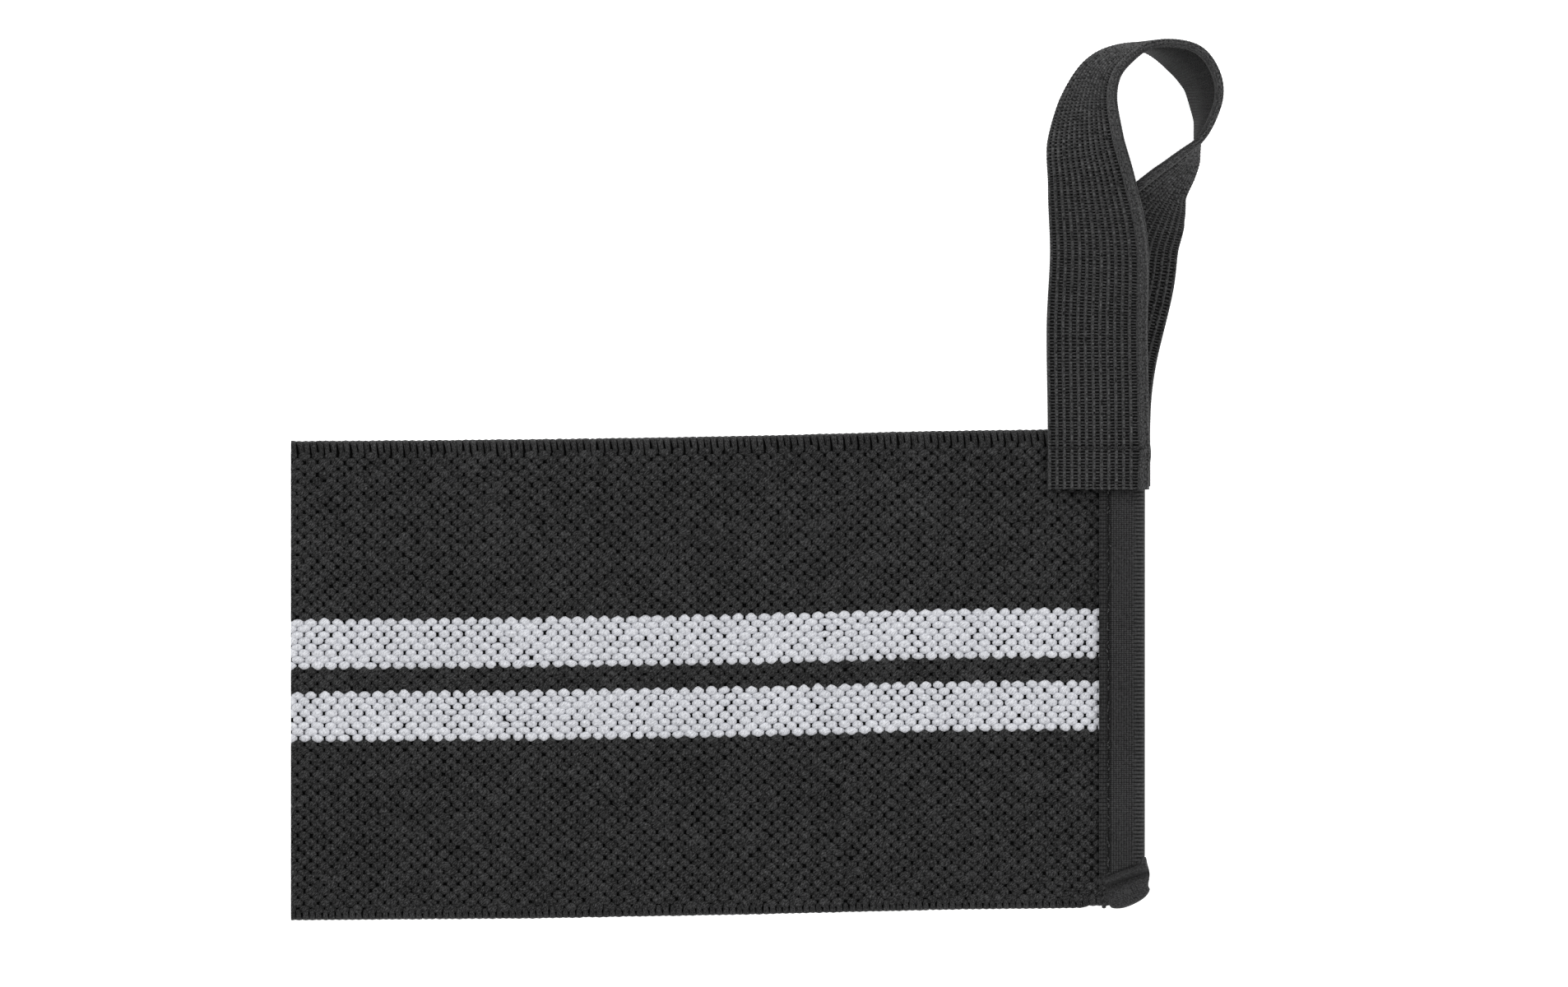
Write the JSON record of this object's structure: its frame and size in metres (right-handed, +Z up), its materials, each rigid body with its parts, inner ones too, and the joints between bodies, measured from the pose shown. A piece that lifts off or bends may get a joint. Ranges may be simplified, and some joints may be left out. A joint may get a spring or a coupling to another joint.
{
  "type": "wrist wrap",
  "caption": "Knitted elastic wrist support band lying flat, with grey lengthwise stripes, a bound end and a thumb loop sewn to its corner.",
  "frame": {"origin": "middle of the footprint, on the surface the wrap lies on", "axes": "+X along the band to its bound end, +Y across the band to the thumb loop, +Z up from the surface"},
  "size_m": [0.1478, 0.1396, 0.0194],
  "materials": {
    "black_knit": "coarse knit of soft yarn, matt",
    "stripe_yarn": "coarse knit of soft yarn, matt",
    "binding_tape": "fine woven tape, matt",
    "strap_elastic": "ladder-woven elastic, slight sheen",
    "hook_tape": "rows of fine nylon hooks"
  },
  "bodies": {
    "root": {"band": "black_knit", "stripe_upper": "stripe_yarn", "stripe_lower": "stripe_yarn", "end_binding": "binding_tape", "thumb_loop": "strap_elastic", "hook_patch": "hook_tape"}
  },
  "joints": []
}
